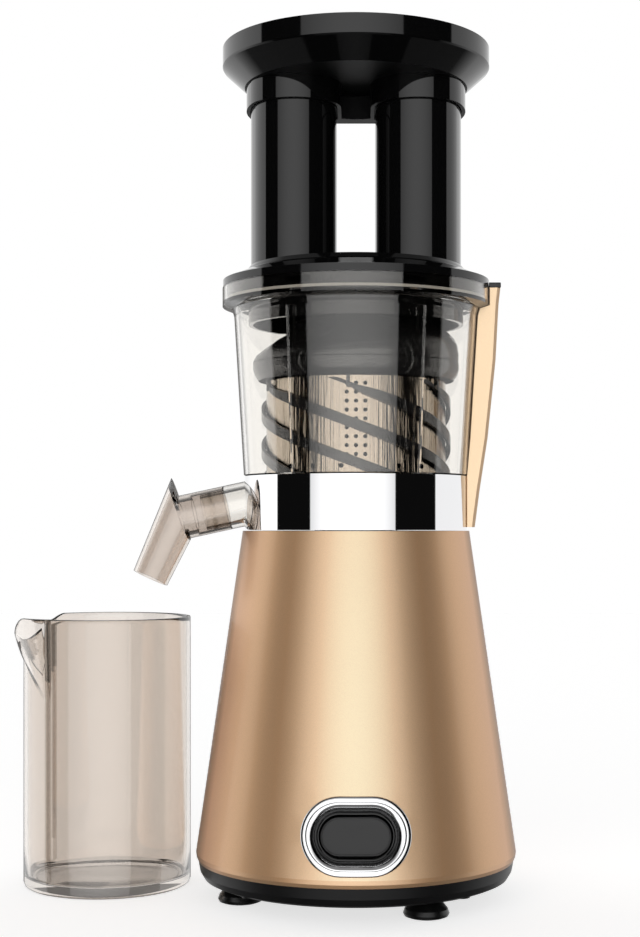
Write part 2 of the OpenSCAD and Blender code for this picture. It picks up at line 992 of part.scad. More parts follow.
// dark cage with slanting bars, turned by teeth inside its lower ring
module wiper_cage() {
    color([0.22, 0.22, 0.23])
    translate([0, 0, base_h]) {
        translate([0, 0, 16.6])
        linear_extrude(height = 7)
        difference() {
            circle(r = cage_r);
            rotate([0, 0, 273])
            polygon(gear_outline(60, 1.5, 1.15, 0.85, 1.16));
        }
        pipe(cage_r, strainer_r + 0.9, 23.6, 31);
        translate([0, 0, 30])
        linear_extrude(height = 16 * bar_step, twist = 16 * bar_step * bar_turn, slices = 16, $fn = 12)
        for (i = [0 : cage_bars - 1])
            rotate([0, 0, 360 / cage_bars * i + bar_start])
            arc_band(strainer_r + 1.1, cage_r - 0.2, 0, 17);
        lathe([
            [strainer_r + 0.9, drum_top - 1], [cage_r, drum_top - 1], [cage_r + 2, drum_top + 2],
            [cage_r + 3, drum_top + 5], [cage_r + 3, drum_top + 8.4],
            [strainer_r + 3.4, drum_top + 8.4],
            [strainer_r + 0.9, drum_top + 4]
        ]);
    }
}

// soft strips on the inner faces of the bars
module cage_wipers() {
    color([0.45, 0.45, 0.46])
    translate([0, 0, base_h + 30 + bar_step])
    linear_extrude(height = 14 * bar_step, twist = 14 * bar_step * bar_turn, slices = 14, $fn = 12)
    for (i = [0 : cage_bars - 1])
        rotate([0, 0, 360 / cage_bars * i + bar_start - bar_turn * bar_step])
        arc_band(strainer_r + 0.45, strainer_r + 1.06, 5.5, 11.5);
}

// pressing screw with a wide spiral head, its gear and a pin for the lid
module auger() {
    color([0.14, 0.14, 0.15])
    translate([0, 0, base_h])
    difference() {
        union() {
            lathe([
                [0, 16.3], [16.4, 16.3], [16.4, 23.4], [20.6, 23.4], [20.6, drum_z + 2.4],
                [28.6, drum_z + 2.4], [39, drum_z + 13], [27, drum_top - 1],
                [strainer_in - 2.1, drum_top - 1],
                [strainer_r + 0.3, drum_top + 5], [strainer_r + 2.6, drum_top + 8.9],
                [cage_r + 2, drum_top + 8.9], [cage_r + 2.6, drum_top + 11], [50, drum_top + 15],
                [42, drum_top + 20], [30, drum_top + 25], [22, drum_top + 27],
                [22, bowl_h - 14], [6, bowl_h - 12.6], [6, bowl_h - 3.4], [0, bowl_h - 3.4]
            ]);
            rotate([0, 0, 270])
            gear(24, 1.5, gear_z, gear_z + 6);
            translate([0, 0, drum_z + 2.6])
            rotate([0, 0, 4.3])
            linear_extrude(height = drum_top - drum_z - 3, twist = -260, slices = 26, $fn = 12)
            for (i = [0 : flights - 1])
                rotate([0, 0, 360 / flights * i])
                arc_band(26, strainer_in - 0.5, 0, 13);
            translate([0, 0, drum_top + 14])
            linear_extrude(height = 14)
            polygon(concat([[0, 0]],
                [for (a = [0 : 10 : 320]) (46 - a / 26) * [cos(a), sin(a)]]));
        }
        rod(8.2, 10, 42);
        lathe([
            [11, drum_z + 9], [21.4, drum_z + 3.6], [21.4, drum_z + 1], [24.6, drum_z + 1],
            [24.6, drum_top - 4], [11, drum_top - 4]
        ]);
    }
}

// steel socket pressed into the auger's foot, fits over the six-sided shaft
module auger_socket() {
    color([0.72, 0.72, 0.74])
    translate([0, 0, base_h])
    difference() {
        rod(8.2, 16.3, 42);
        translate([0, 0, 15])
        linear_extrude(height = 25)
        polygon([for (i = [0 : 5]) 6.4 * [cos(60 * i), sin(60 * i)]]);
    }
}

// lid and tray

// black lid with two open feed tubes
module lid() {
    color([0.03, 0.03, 0.035])
    translate([0, 0, base_h + bowl_h])
    difference() {
        union() {
            lathe([
                [brim_r - 5, 0], [brim_r - 0.2, 0], [brim_r - 0.2, 4], [brim_r - 2, 4.4],
                [60, 9], [58, 11.4], [0, 11.4], [0, 8.4], [56, 8.4], [56, -20],
                [58.4, -20], [58.4, 6], [brim_r - 5, 1.4]
            ]);
            pipe(brim_r - 2.6, brim_r - 4.8, -6, 1);
            rod(11, -6, 17);
            for (side = [0, 180])
                rotate([0, 0, side])
                tube_block(0, 9, tube_h + 10.7);
        }
        for (side = [0, 180])
            rotate([0, 0, side])
            tube_block(-tube_wall, 4, tube_h + 12);
        rod(6 + fit, -7, -1);
        for (a = [60, 110, 250, 300])
            rotate([0, 0, a - 5])
            block([brim_r - 6, -7, -4.6], [brim_r, 7, -1.4]);
    }
}

module lid_gasket() {
    color([0.85, 0.84, 0.82])
    translate([0, 0, base_h + bowl_h])
    pipe(brim_r - 2.6, brim_r - 4.8, -7.4, -6);
}

// round tray with two sockets that sit over the tubes
module hopper_tray() {
    color([0.03, 0.03, 0.035])
    translate([0, 0, base_h + tray_z])
    difference() {
        union() {
            lathe([
                [0, 0], [tray_r - 11.9, 0], [tray_r - 0.6, 10.2], [tray_r, 11],
                [tray_r, 11 + tray_rim], [tray_r - 2.2, 11 + tray_rim],
                [tray_r - 2.2, 12], [tray_r - 13, 3], [0, 3]
            ]);
            for (side = [0, 180])
                rotate([0, 0, side])
                tube_block(2.4, -12.5, 1);
            translate([0, 8, -12.5])
            difference() {
                translate([-13, -6, 0])
                cube([26, 22, 13]);
                translate([0, -14, -1])
                cylinder(r = 19.6, h = 15);
            }
        }
        for (side = [0, 180])
            rotate([0, 0, side]) {
                tube_block(fit, -14, 0);
                tube_block(-tube_wall, -1, 4);
            }
    }
}

// hollow plunger that follows the feed tube's section
module pusher() {
    difference() {
        union() {
            tube_block(-tube_wall - 0.6, -tube_h - 9, 4);
            tube_block(-0.8, 3, 7);
            translate([corner_x + 1, 0, 0]) {
                rod(12, 6, 15);
                rod(15, 13, 17.5);
            }
        }
        tube_block(-tube_wall - 3, -tube_h - 6.6, 1);
    }
}

module pusher_right() {
    color([0.12, 0.12, 0.125])
    translate([0, 0, base_h + tray_z])
    pusher();
}

module pusher_left() {
    color([0.12, 0.12, 0.125])
    translate([0, 0, base_h + tray_z])
    rotate([0, 0, 180])
    pusher();
}

// jug

// clear jug with a pinched pouring lip on its left
module jug() {
    color([0.7, 0.66, 0.62, 0.4])
    translate([-jug_x, 30, 0])
    difference() {
        union() {
            lathe([
                [0, 1.5], [jug_r - 6, 1.5], [jug_r - 5, 0], [jug_r - 2.5, 0],
                [jug_r, 3], [jug_r, jug_h], [0, jug_h]
            ]);
            jug_lip(0);
        }
        rod(jug_r - 2.2, 6, jug_h + 1);
        jug_lip(2.2);
    }
}

// leaning three-sided beak, cut flat at the jug's rim
module jug_lip(inset) {
    intersection() {
        translate([-jug_r, 0, jug_h - 48])
        rotate([0, -6.5, 0])
        linear_extrude(height = 60)
        polygon([[inset * 1.4, 0], [15, -15 + inset], [15, 15 - inset]]);
        block([-jug_r - 20, -30, jug_h - 60], [0, 30, jug_h + (inset > 0 ? 1 : 0)]);
    }
}

housing();
base_cover();
feet();
cover_screws();
switch_bezel();
switch_body();
rocker();
top_deck();
deck_screws();
shaft_seal();
gearbox_case();
gearbox_cover();
gearbox_screws();
output_bearing();
drive_shaft();
output_gear();
gear_wheel();
countershaft();
stator();
windings();
rotor();
rotor_shaft();
motor_bearings();
motor_bracket();
motor_bolts();
fan();
control_board();
run_capacitor();
power_inlet();
inlet_pins();
bowl();
chrome_band();
handle();
handle_cap();
idler_gear();
bowl_seal();
spout_ring();
nozzle();
pulp_flap();
flap_pin();
flap_ears();
strainer();
wiper_cage();
cage_wipers();
auger();
auger_socket();
lid();
lid_gasket();
hopper_tray();
pusher_left();
pusher_right();
jug();
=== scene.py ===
import math

import bmesh
import bpy
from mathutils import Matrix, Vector


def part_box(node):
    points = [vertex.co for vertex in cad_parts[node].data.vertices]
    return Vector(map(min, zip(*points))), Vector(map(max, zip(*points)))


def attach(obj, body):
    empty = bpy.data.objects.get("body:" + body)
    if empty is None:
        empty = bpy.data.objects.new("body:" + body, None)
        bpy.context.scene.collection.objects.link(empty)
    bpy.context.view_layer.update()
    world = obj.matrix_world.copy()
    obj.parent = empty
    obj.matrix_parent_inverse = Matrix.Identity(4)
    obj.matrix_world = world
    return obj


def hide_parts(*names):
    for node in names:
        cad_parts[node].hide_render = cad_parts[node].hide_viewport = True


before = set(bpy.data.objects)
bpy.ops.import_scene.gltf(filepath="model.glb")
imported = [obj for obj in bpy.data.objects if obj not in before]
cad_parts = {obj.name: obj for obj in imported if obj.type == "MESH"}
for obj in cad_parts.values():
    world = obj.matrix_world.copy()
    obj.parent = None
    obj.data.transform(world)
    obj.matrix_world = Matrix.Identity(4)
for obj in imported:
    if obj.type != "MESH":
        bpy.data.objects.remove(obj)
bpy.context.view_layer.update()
MM = 0.001


# Studio: a pale sweep of floor, an even white surround, and a camera at counter level. Gloss
# sees a wide soft box in front, a dark gap on each side of it, and the white room behind.
# An aim is in degrees from the front; a span is of cosines round it, or of a ray's rise.
CAMERA_BACK = 0.932
CAMERA_HEIGHT = 0.2006
SENSOR_WIDTH = 36
FOCAL_PIXELS = 1710
IMAGE_WIDTH = 640
AXIS_SHIFT = -36
HORIZON_SHIFT = 57.5
BOX_AIM, BOX_HALF, BOX_EDGE = -3.5, 43.7, 0.5
BOX_SPAN, BOX_GLOW = (0.72, 1.0), (0.86, 1.55)
ROOM_AIM, ROOM_SPAN = 0.5, (0.045, 0.02)
SIDE_AIM, SIDE_SPAN, SIDE_GLOW = -100, (0.6, 0.97), 1.3
GAP_GLOW = 0.004
GROUND_TILT, GROUND_SPAN, GROUND_GLOW = -0.15, (-0.64, -0.48), 0.09
CEILING_SPAN, CEILING_GLOW = (0.35, 0.75), 0.15
SWEEP_SIZE = 3
FLOOR_PAINT = 0.82
FLOOR_LIFT = 0.7

camera_data = bpy.data.cameras.new("studio_camera")
camera_data.sensor_fit = "HORIZONTAL"
camera_data.sensor_width = SENSOR_WIDTH
camera_data.lens = FOCAL_PIXELS / IMAGE_WIDTH * SENSOR_WIDTH
camera_data.shift_x = AXIS_SHIFT / IMAGE_WIDTH
camera_data.shift_y = HORIZON_SHIFT / IMAGE_WIDTH
camera_data.clip_start = 0.01
camera = bpy.data.objects.new("studio_camera", camera_data)
camera.location = (0, -CAMERA_BACK, CAMERA_HEIGHT)
camera.rotation_euler = (math.radians(90), 0, 0)
bpy.context.scene.collection.objects.link(camera)
bpy.context.scene.camera = camera
bpy.context.scene.view_settings.view_transform = "Standard"


def wired(tree, kind, inputs=None, **settings):
    """A node of a tree, its settings made and its inputs set to values or linked to sockets."""
    node = tree.nodes.new(kind)
    for key, value in settings.items():
        setattr(node, key, value)
    for key, value in (inputs or {}).items():
        socket = node.inputs[key]
        if isinstance(value, bpy.types.NodeSocket):
            tree.links.new(value, socket)
        else:
            socket.default_value = value
    return node


def reckoned(tree, operation, *terms):
    """The output of a Math node that works on two or three sockets or numbers."""
    return wired(tree, "ShaderNodeMath", dict(enumerate(terms)), operation=operation).outputs[0]


def seen_straight(tree):
    """1 for a camera ray that nothing has reflected, also through clear plastic, else 0."""
    ray = wired(tree, "ShaderNodeLightPath").outputs
    through = reckoned(tree, "MAXIMUM", ray["Is Camera Ray"], ray["Is Transmission Ray"])
    bounced = reckoned(tree, "ADD", ray["Glossy Depth"], ray["Diffuse Depth"])
    direct = reckoned(tree, "LESS_THAN", bounced, 0.5)
    return reckoned(tree, "MULTIPLY", through, direct)


def lit_room():
    """The world: white to the camera and through clear plastic, the studio to all other rays."""
    world = bpy.data.worlds.new("studio_room")
    world.use_nodes = True
    tree = world.node_tree
    tree.nodes.clear()
    way = wired(tree, "ShaderNodeTexCoord").outputs["Generated"]
    parts = wired(tree, "ShaderNodeSeparateXYZ", {0: way})
    level = wired(tree, "ShaderNodeCombineXYZ", {0: parts.outputs[0], 1: parts.outputs[1]})
    heading = wired(tree, "ShaderNodeVectorMath", {0: level.outputs[0]}, operation="NORMALIZE")

    def facing(degrees):
        side = math.radians(degrees)
        aim = (math.sin(side), -math.cos(side), 0)
        ends = {0: heading.outputs[0], 1: aim}
        return wired(tree, "ShaderNodeVectorMath", ends, operation="DOT_PRODUCT").outputs["Value"]

    def ramp(value, span, dark, light):
        low, high = span
        inputs = {
            "Value": value, "From Min": low, "From Max": high, "To Min": dark, "To Max": light,
        }
        return wired(tree, "ShaderNodeMapRange", inputs, clamp=True).outputs[0]

    edge_span = [math.cos(math.radians(BOX_HALF + side * BOX_EDGE)) for side in (1, -1)]
    soft_box = ramp(facing(BOX_AIM), edge_span, 0, 1)
    glow = ramp(facing(BOX_AIM), BOX_SPAN, *BOX_GLOW)
    side = ramp(facing(SIDE_AIM), SIDE_SPAN, 1, SIDE_GLOW)
    back = reckoned(tree, "MULTIPLY", ramp(facing(ROOM_AIM), ROOM_SPAN, 0, 1), side)
    front = reckoned(tree, "MULTIPLY", soft_box, glow)
    band = reckoned(tree, "MAXIMUM", reckoned(tree, "ADD", front, back), GAP_GLOW)
    tilt = reckoned(tree, "MULTIPLY_ADD", parts.outputs[1], GROUND_TILT, parts.outputs[2])
    low = ramp(tilt, GROUND_SPAN, GROUND_GLOW, 1)
    high = ramp(parts.outputs[2], CEILING_SPAN, 1, CEILING_GLOW)
    room = reckoned(tree, "MULTIPLY", reckoned(tree, "MULTIPLY", band, low), high)
    strength = wired(tree, "ShaderNodeMix", {0: seen_straight(tree), 2: room, 3: 1.0}).outputs[0]
    light = wired(tree, "ShaderNodeBackground", {0: (1, 1, 1, 1), 1: strength})
    wired(tree, "ShaderNodeOutputWorld", {0: light.outputs[0]})
    bpy.context.scene.world = world


def studio_floor():
    """A wide pale floor that keeps a soft shadow; gloss sees the studio through it."""
    plane = bmesh.new()
    bmesh.ops.create_grid(plane, x_segments=1, y_segments=1, size=SWEEP_SIZE)
    mesh = bpy.data.meshes.new("studio_floor")
    plane.to_mesh(mesh)
    plane.free()
    floor = bpy.data.objects.new("studio_floor", mesh)
    bpy.context.scene.collection.objects.link(floor)
    material = bpy.data.materials.new("pale_floor")
    material.use_nodes = True
    tree = material.node_tree
    tree.nodes.clear()
    ray = wired(tree, "ShaderNodeLightPath").outputs
    mirrored = reckoned(tree, "GREATER_THAN", ray["Glossy Depth"], 0.5)
    paint = wired(tree, "ShaderNodeBsdfDiffuse", {"Color": (*[FLOOR_PAINT] * 3, 1)})
    lift = reckoned(tree, "MULTIPLY", seen_straight(tree), FLOOR_LIFT)
    glow = wired(tree, "ShaderNodeEmission", {0: (1, 1, 1, 1), 1: lift})
    both = wired(tree, "ShaderNodeAddShader", {0: paint.outputs[0], 1: glow.outputs[0]})
    open_air = wired(tree, "ShaderNodeBsdfTransparent")
    blend = wired(
        tree, "ShaderNodeMixShader", {0: mirrored, 1: both.outputs[0], 2: open_air.outputs[0]},
    )
    wired(tree, "ShaderNodeOutputMaterial", {0: blend.outputs[0]})
    mesh.materials.append(material)


lit_room()
studio_floor()


# Base cover: the black moulded floor of the base with its rounded skirt, on which all the
# rest stands. It is injection moulded, so its surface is satin with a fine even texture.
def sockets_of(group, inputs, outputs):
    """Gives a node group its inputs, with their starting values, and its outputs."""
    for name, kind, start in inputs:
        given = group.interface.new_socket(name, in_out="INPUT", socket_type="NodeSocket" + kind)
        given.default_value = start
    for name, kind in outputs:
        group.interface.new_socket(name, in_out="OUTPUT", socket_type="NodeSocket" + kind)


def scaled(tree, colour, factor):
    """The output of a node that multiplies a colour by a factor."""
    inputs = {0: colour, "Scale": factor}
    return wired(tree, "ShaderNodeVectorMath", inputs, operation="SCALE").outputs[0]


def moulded_surface():
    """Node group: a fine moulded texture, with slow changes of tone and gloss over the surface."""
    group = bpy.data.node_groups.new("moulded_surface", "ShaderNodeTree")
    sockets_of(
        group,
        (("Color", "Color", (0.5, 0.5, 0.5, 1)), ("Tone", "Float", 0.05), ("Patch", "Float", 40),
         ("Roughness", "Float", 0.3), ("Spread", "Float", 0.05), ("Grain", "Float", 2000),
         ("Depth", "Float", 0.2)),
        (("Color", "Color"), ("Roughness", "Float"), ("Normal", "Vector")),
    )
    given = wired(group, "NodeGroupInput").outputs
    place = wired(group, "ShaderNodeTexCoord").outputs["Object"]
    slow = wired(
        group, "ShaderNodeTexNoise", {"Vector": place, "Scale": given["Patch"], "Detail": 3},
    )
    fine = wired(
        group, "ShaderNodeTexNoise", {"Vector": place, "Scale": given["Grain"], "Detail": 1},
    )
    drift = reckoned(group, "SUBTRACT", slow.outputs[0], 0.5)
    tone = reckoned(group, "MULTIPLY_ADD", drift, given["Tone"], 1)
    tinted = scaled(group, given["Color"], tone)
    rough = reckoned(group, "MULTIPLY_ADD", drift, given["Spread"], given["Roughness"])
    bump = wired(
        group, "ShaderNodeBump",
        {"Height": fine.outputs[0], "Strength": given["Depth"], "Distance": 0.02 * MM},
    )
    results = {"Color": tinted, "Roughness": rough, "Normal": bump.outputs[0]}
    wired(group, "NodeGroupOutput", results)
    return group


moulded = moulded_surface()


def coated(name, group, values, **sockets):
    """A material whose colour, gloss and fine relief come from a surface group."""
    material = bpy.data.materials.new(name)
    material.use_nodes = True
    tree = material.node_tree
    shader = tree.nodes["Principled BSDF"]
    surface = wired(tree, "ShaderNodeGroup", node_tree=group)
    for key, value in values.items():
        surface.inputs[key].default_value = value
    tree.links.new(surface.outputs["Color"], shader.inputs["Base Color"])
    tree.links.new(surface.outputs["Roughness"], shader.inputs["Roughness"])
    tree.links.new(surface.outputs["Normal"], shader.inputs["Normal"])
    for key, value in sockets.items():
        shader.inputs[key.replace("_", " ")].default_value = value
    return material


def finish(
    name, colour, roughness, tone=0.1, patch=40, spread=0.06, grain=2500, depth=0.15, **sockets,
):
    """A moulded, cast or painted finish."""
    values = {"Color": (*colour, 1), "Tone": tone, "Patch": patch, "Roughness": roughness,
              "Spread": spread, "Grain": grain, "Depth": depth}
    return coated(name, moulded, values, **sockets)


def dress(material, *nodes):
    """Gives CAD nodes that stay as they are their finish."""
    for node in nodes:
        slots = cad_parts[node].data.materials
        slots.clear()
        slots.append(material)


def copy_of(node):
    """A CAD node's mesh with its faces joined at their edges, ready to be worked on."""
    bm = bmesh.new()
    bm.from_mesh(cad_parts[node].data)
    bmesh.ops.remove_doubles(bm, verts=bm.verts, dist=2e-6)
    return bm


def placed(bm, name, body, *materials, stands_for=(), crease=32):
    """Makes a finished piece of a mesh, smooth but for its creases, that rides on its body."""
    bmesh.ops.remove_doubles(bm, verts=bm.verts, dist=1e-6)
    bmesh.ops.recalc_face_normals(bm, faces=bm.faces)
    mesh = bpy.data.meshes.new(name)
    bm.to_mesh(mesh)
    bm.free()
    mesh.polygons.foreach_set("use_smooth", [True] * len(mesh.polygons))
    mesh.set_sharp_from_angle(angle=math.radians(crease))
    for material in materials:
        mesh.materials.append(material)
    piece = bpy.data.objects.new(name, mesh)
    bpy.context.scene.collection.objects.link(piece)
    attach(piece, body)
    if stands_for:
        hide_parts(*stands_for)


satin_black = finish("satin_black", (0.0085, 0.0085, 0.009), 0.36, spread=0.1, depth=0.3)
cover_black = finish(
    "cover_black", (0.0085, 0.0085, 0.009), 0.4, spread=0.1, depth=0.3, Specular_IOR_Level=0.24,
)
dress(cover_black, "base_cover")


# Feet: four soft black suction cups, each with its neck pushed up through the cover.
rubber = finish("soft_rubber", (0.006, 0.006, 0.006), 0.3, spread=0.15, depth=0.4)
dress(rubber, "feet")


# Motor: a shaded stack of steel sheets with copper windings, held between a cast lower
# bracket and the gearbox by long bolts, with a rotor on a turned shaft and a fan below it.
def ruled_surface():
    """Node group: fine level lines one above the other, as turning, sheets or wire leave them."""
    group = bpy.data.node_groups.new("ruled_surface", "ShaderNodeTree")
    sockets_of(
        group,
        (("Color", "Color", (0.5, 0.5, 0.5, 1)), ("Lines", "Color", (0.3, 0.3, 0.3, 1)),
         ("Scale", "Float", 600), ("Roughness", "Float", 0.3), ("Depth", "Float", 0.3)),
        (("Color", "Color"), ("Roughness", "Float"), ("Normal", "Vector")),
    )
    given = wired(group, "NodeGroupInput").outputs
    place = wired(group, "ShaderNodeTexCoord").outputs["Object"]
    wave = wired(
        group, "ShaderNodeTexWave",
        {"Vector": place, "Scale": given["Scale"], "Distortion": 0.6, "Detail": 2,
         "Detail Scale": 0.4},
        wave_type="BANDS", bands_direction="Z",
    )
    slow = wired(group, "ShaderNodeTexNoise", {"Vector": place, "Scale": 60, "Detail": 2})
    mix = wired(
        group, "ShaderNodeMix",
        {0: wave.outputs["Fac"], 6: given["Lines"], 7: given["Color"]}, data_type="RGBA",
    )
    rough = reckoned(group, "MULTIPLY_ADD", slow.outputs[0], 0.15, given["Roughness"])
    bump = wired(
        group, "ShaderNodeBump",
        {"Height": wave.outputs["Fac"], "Strength": given["Depth"], "Distance": 0.1 * MM},
    )
    results = {"Color": mix.outputs[2], "Roughness": rough, "Normal": bump.outputs[0]}
    wired(group, "NodeGroupOutput", results)
    return group


ruled = ruled_surface()
WAVE_PITCH = 0.314


def lined(name, colour, lines, pitch, roughness, depth=0.3, **sockets):
    """A finish with level lines at a pitch in mm."""
    values = {"Color": (*colour, 1), "Lines": (*lines, 1), "Scale": WAVE_PITCH / (pitch * MM),
              "Roughness": roughness, "Depth": depth}
    return coated(name, ruled, values, **sockets)


cast_alloy = finish(
    "cast_alloy", (0.5, 0.51, 0.53), 0.42, tone=0.25, grain=1200, depth=0.7, Metallic=1,
)
turned_steel = lined(
    "turned_steel", (0.56, 0.56, 0.58), (0.44, 0.44, 0.46), 0.25, 0.2, 0.12, Metallic=1,
)
bronze = finish(
    "sintered_bronze", (0.42, 0.27, 0.12), 0.4, tone=0.3, grain=3000, depth=0.6, Metallic=1,
)
sheet_stack = lined("sheet_stack", (0.26, 0.26, 0.28), (0.1, 0.1, 0.11), 0.5, 0.35, Metallic=0.9)
rotor_stack = lined("rotor_stack", (0.48, 0.48, 0.5), (0.24, 0.24, 0.26), 0.5, 0.3, Metallic=1)
copper = lined("copper_wire", (0.62, 0.24, 0.09), (0.28, 0.09, 0.03), 0.7, 0.25, 0.8, Metallic=0.9)
fan_black = finish("fan_black", (0.012, 0.012, 0.013), 0.45, depth=0.3)
dress(cast_alloy, "motor_bracket")
dress(bronze, "motor_bearings")
dress(sheet_stack, "stator")
dress(rotor_stack, "rotor")
dress(turned_steel, "rotor_shaft", "motor_bolts", "cover_screws")
dress(copper, "windings")
dress(fan_black, "fan")


# Electrics: a lacquered board in two slots of the cover, a round run capacitor in its cup,
# and the appliance inlet in the back with its two plated pins.
board_green = finish("board_green", (0.02, 0.12, 0.05), 0.35, tone=0.5, patch=300, Coat_Weight=0.5)
white_shell = finish("white_shell", (0.7, 0.69, 0.65), 0.35, depth=0.3)
plated = finish("plated_brass", (0.6, 0.45, 0.2), 0.25, Metallic=1)
dress(white_shell, "run_capacitor")
dress(satin_black, "power_inlet")
dress(plated, "inlet_pins")
dress(board_green, "control_board")


# Gearbox: a cast case with its lid and screws, a sintered sleeve for the drive shaft, and
# acetal wheels that run against a hobbed steel pinion.
acetal = finish(
    "acetal", (0.74, 0.72, 0.66), 0.32, depth=0.2, Subsurface_Weight=0.15,
    Subsurface_Radius=(0.002, 0.002, 0.0015),
)
dress(cast_alloy, "gearbox_case", "gearbox_cover")
dress(turned_steel, "gearbox_screws", "drive_shaft", "countershaft")
dress(bronze, "output_bearing")
dress(acetal, "output_gear", "gear_wheel")


# Housing: the tapered shell, spray painted with champagne lacquer under a clear coat.
# The metal flakes blur what it mirrors; the coat on top still mirrors the spout sharply.
def flake_lacquer():
    """Node group: metal flakes, each a fraction of a mm, that tilt and brighten the paint."""
    group = bpy.data.node_groups.new("flake_lacquer", "ShaderNodeTree")
    sockets_of(
        group,
        (("Color", "Color", (0.5, 0.5, 0.5, 1)), ("Roughness", "Float", 0.4),
         ("Glitter", "Float", 0.08)),
        (("Color", "Color"), ("Roughness", "Float"), ("Normal", "Vector")),
    )
    given = wired(group, "NodeGroupInput").outputs
    place = wired(group, "ShaderNodeTexCoord").outputs["Object"]
    flakes = wired(group, "ShaderNodeTexVoronoi", {"Vector": place, "Scale": 4000})
    spark = wired(group, "ShaderNodeSeparateColor", {0: flakes.outputs["Color"]}).outputs[0]
    drift = reckoned(group, "SUBTRACT", spark, 0.5)
    gain = reckoned(group, "MULTIPLY_ADD", drift, given["Glitter"], 1)
    haze = wired(group, "ShaderNodeTexNoise", {"Vector": place, "Scale": 25, "Detail": 2})
    rough = reckoned(group, "MULTIPLY_ADD", haze.outputs[0], 0.03, given["Roughness"])
    bump = wired(
        group, "ShaderNodeBump", {"Height": spark, "Strength": 0.04, "Distance": 0.02 * MM},
    )
    lit = scaled(group, given["Color"], gain)
    results = {"Color": lit, "Roughness": rough, "Normal": bump.outputs[0]}
    wired(group, "NodeGroupOutput", results)
    return group


flaked = flake_lacquer()


def lacquer(name, flop_and_sheen_stops, roughness, coat):
    """Champagne lacquer: flakes that look pale face on and deeper at a slant; the pale is also a
    painted highlight, the deep also painted shade.
    """
    material = coated(
        name, flaked, {"Roughness": roughness}, Metallic=0.7, Specular_Tint=(0.8, 0.64, 0.5, 1),
        Coat_Weight=coat, Coat_Roughness=0.03,
    )
    tree = material.node_tree
    surface = next(n for n in tree.nodes if n.type == "GROUP")
    slant = wired(tree, "ShaderNodeLayerWeight", {"Blend": 0.5}).outputs["Facing"]
    flop_and_sheen = wired(tree, "ShaderNodeValToRGB", {0: slant})
    elements = flop_and_sheen.color_ramp.elements
    while len(elements) < len(flop_and_sheen_stops):
        elements.new(0.5)
    for element, (position, colour) in zip(elements, flop_and_sheen_stops):
        element.position = position
        element.color = (*colour, 1)
    tree.links.new(flop_and_sheen.outputs[0], surface.inputs["Color"])
    return material


# The pale face-on stops are partly a painted highlight and the dark last stop partly painted edge
# shade, over the paint's real flop.
flop_and_sheen_colours = [
    (0, (1.0, 0.83, 0.57)), (0.04, (0.98, 0.69, 0.44)), (0.16, (0.88, 0.53, 0.29)),
    (0.36, (0.84, 0.54, 0.32)), (0.68, (0.79, 0.52, 0.35)), (0.88, (0.3, 0.17, 0.1)),
]
champagne = lacquer("champagne_lacquer", flop_and_sheen_colours, 0.42, 0.25)
dress(champagne, "housing")


# Switch: a chrome plated ring that follows the cone, a black cup behind it with a raised lip
# round its pocket, and a bare rocker with a hollow face.
def reach(node, low, high):
    """The largest distance from the upright axis, in mm, of a node's points between two heights."""
    found = [math.hypot(v.co.x, v.co.y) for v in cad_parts[node].data.vertices
             if low - 0.01 <= v.co.z / MM <= high + 0.01]
    return max(found) / MM


def size_of(node):
    """The corners of a node's box in mm."""
    low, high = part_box(node)
    return Vector(low) / MM, Vector(high) / MM


housing_low, housing_high = size_of("housing")
bezel_low, bezel_high = size_of("switch_bezel")
rocker_low, rocker_high = size_of("rocker")
HOUSING_TOP = housing_high.z
RIM_RADIUS = reach("housing", HOUSING_TOP - 0.2, HOUSING_TOP)
FOOT_ROLL = 4.3
WIDE_HEIGHT = housing_low.z + FOOT_ROLL
TAPER = (housing_high.x - RIM_RADIUS) / (HOUSING_TOP - WIDE_HEIGHT)
SLOPE = math.atan(TAPER)
SWITCH_Z = (bezel_low.z + bezel_high.z) / 2
BEZEL_WIDTH = bezel_high.x - bezel_low.x
BEZEL_RUN = 15.8
BEZEL_HEIGHT = BEZEL_WIDTH - BEZEL_RUN
MOUTH_INSET = 6.2
CUP_DEPTH = 5


def stadium(width, height, steps=24):
    """Points of a flat shape with round ends, anticlockwise from the foot of its right end."""
    radius = height / 2
    run = width / 2 - radius
    between = 6
    points = []
    for side, start in ((1, -90), (-1, 90)):
        for i in range(steps + 1):
            turn = math.radians(start + 180 * i / steps)
            points.append((side * run + radius * math.cos(turn), radius * math.sin(turn)))
        for i in range(1, between):
            points.append((side * run * (1 - 2 * i / between), side * radius))
    return points


def on_front(x, rise, out):
    """A point over the housing's front: across, up the slope from the switch, and out of it."""
    z = SWITCH_Z + rise * math.cos(SLOPE)
    radius = RIM_RADIUS + (HOUSING_TOP - z) * TAPER
    turn = math.asin(x / radius)
    level = math.cos(SLOPE)
    normal = Vector((math.sin(turn) * level, -math.cos(turn) * level, math.sin(SLOPE)))
    return Vector((x, -radius * math.cos(turn), z)) + out * normal


def skin(bm, rings):
    """Draws the first of some rings of points and extrudes it through the rest, ring by ring."""
    row = [bm.verts.new(Vector(point) * MM) for point in rings[0]]
    edges = [bm.edges.new(pair) for pair in zip(row, row[1:] + row[:1])]
    rows = [row]
    for ring in rings[1:]:
        grown = bmesh.ops.extrude_edge_only(bm, edges=edges)["geom"]
        edges = [part for part in grown if isinstance(part, bmesh.types.BMEdge)]
        fresh = {vert for edge in edges for vert in edge.verts}
        partners = [{edge.other_vert(vert) for edge in vert.link_edges} & fresh for vert in row]
        row = [found.pop() for found in partners]
        for vert, point in zip(row, ring):
            vert.co = Vector(point) * MM
        rows.append(row)
    return rows


def closed_skin(bm, rings):
    """A skin over rings, with a flat face on its first and on its last."""
    rows = skin(bm, rings)
    bm.faces.new(rows[0][::-1])
    bm.faces.new(rows[-1])


